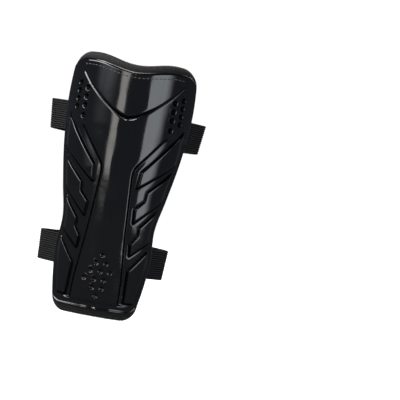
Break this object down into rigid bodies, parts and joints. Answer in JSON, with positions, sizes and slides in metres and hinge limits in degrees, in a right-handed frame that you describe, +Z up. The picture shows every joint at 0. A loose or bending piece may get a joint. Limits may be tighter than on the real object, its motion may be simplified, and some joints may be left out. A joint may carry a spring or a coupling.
{
  "type": "shin guard",
  "caption": "Moulded plastic shin guard on a foam pad, held to the leg by elastic straps that wrap round the calf and ankle and close with hook-and-loop tape.",
  "frame": {"origin": "the point of the lining that bears on the middle of the shin, at the guard's mid height", "axes": "+Z up the shin towards the knee, +Y back into the leg, so the shell faces -Y; +X to the right of someone facing the shell"},
  "size_m": [0.1344, 0.1136, 0.2165],
  "materials": {
    "shell_plastic": "glossy moulded",
    "foam": "matte closed-cell foam",
    "lining_fabric": "matte knit",
    "binding_fabric": "overlocked thread edge",
    "sewing_thread": "twisted thread",
    "elastic_webbing": "ribbed woven elastic",
    "hook_tape": "hook pile",
    "loop_tape": "brushed loop pile"
  },
  "bodies": {
    "guard": {"shell": "shell_plastic", "foam_pad": "foam", "lining": "lining_fabric", "edge_binding": "binding_fabric", "shell_stitch_thread": "sewing_thread", "upper_strap_sewn_end": "elastic_webbing", "upper_strap_tack": "sewing_thread", "upper_short_strap": "elastic_webbing", "upper_short_strap_tack": "sewing_thread", "upper_loop_patch": "loop_tape", "upper_loop_stitch": "sewing_thread", "lower_strap_sewn_end": "elastic_webbing", "lower_strap_tack": "sewing_thread", "lower_short_strap": "elastic_webbing", "lower_short_strap_tack": "sewing_thread", "lower_loop_patch": "loop_tape", "lower_loop_stitch": "sewing_thread"},
    "upper_strap": {"upper_strap": "elastic_webbing"},
    "upper_strap_end": {"upper_strap_end": "elastic_webbing", "upper_hook_patch": "hook_tape", "upper_hook_stitch": "sewing_thread", "upper_strap_hem": "elastic_webbing"},
    "lower_strap": {"lower_strap": "elastic_webbing"},
    "lower_strap_end": {"lower_strap_end": "elastic_webbing", "lower_hook_patch": "hook_tape", "lower_hook_stitch": "sewing_thread", "lower_strap_hem": "elastic_webbing"}
  },
  "joints": [
    {"name": "upper_strap_wrap", "type": "hinge", "parent": "guard", "child": "upper_strap", "pos_m": [0.05078, 0.03889, 0.0526], "axis": [0, 0, -1], "range_deg": [0, 75]},
    {"name": "upper_strap_peel", "type": "hinge", "parent": "upper_strap", "child": "upper_strap_end", "pos_m": [0, 0.1041, 0.0526], "axis": [0, 0, -1], "range_deg": [0, 60]},
    {"name": "lower_strap_wrap", "type": "hinge", "parent": "guard", "child": "lower_strap", "pos_m": [0.04088, 0.0259, -0.0582], "axis": [0, 0, -1], "range_deg": [0, 75]},
    {"name": "lower_strap_peel", "type": "hinge", "parent": "lower_strap", "child": "lower_strap_end", "pos_m": [0, 0.0821, -0.0582], "axis": [0, 0, -1], "range_deg": [0, 60]}
  ]
}
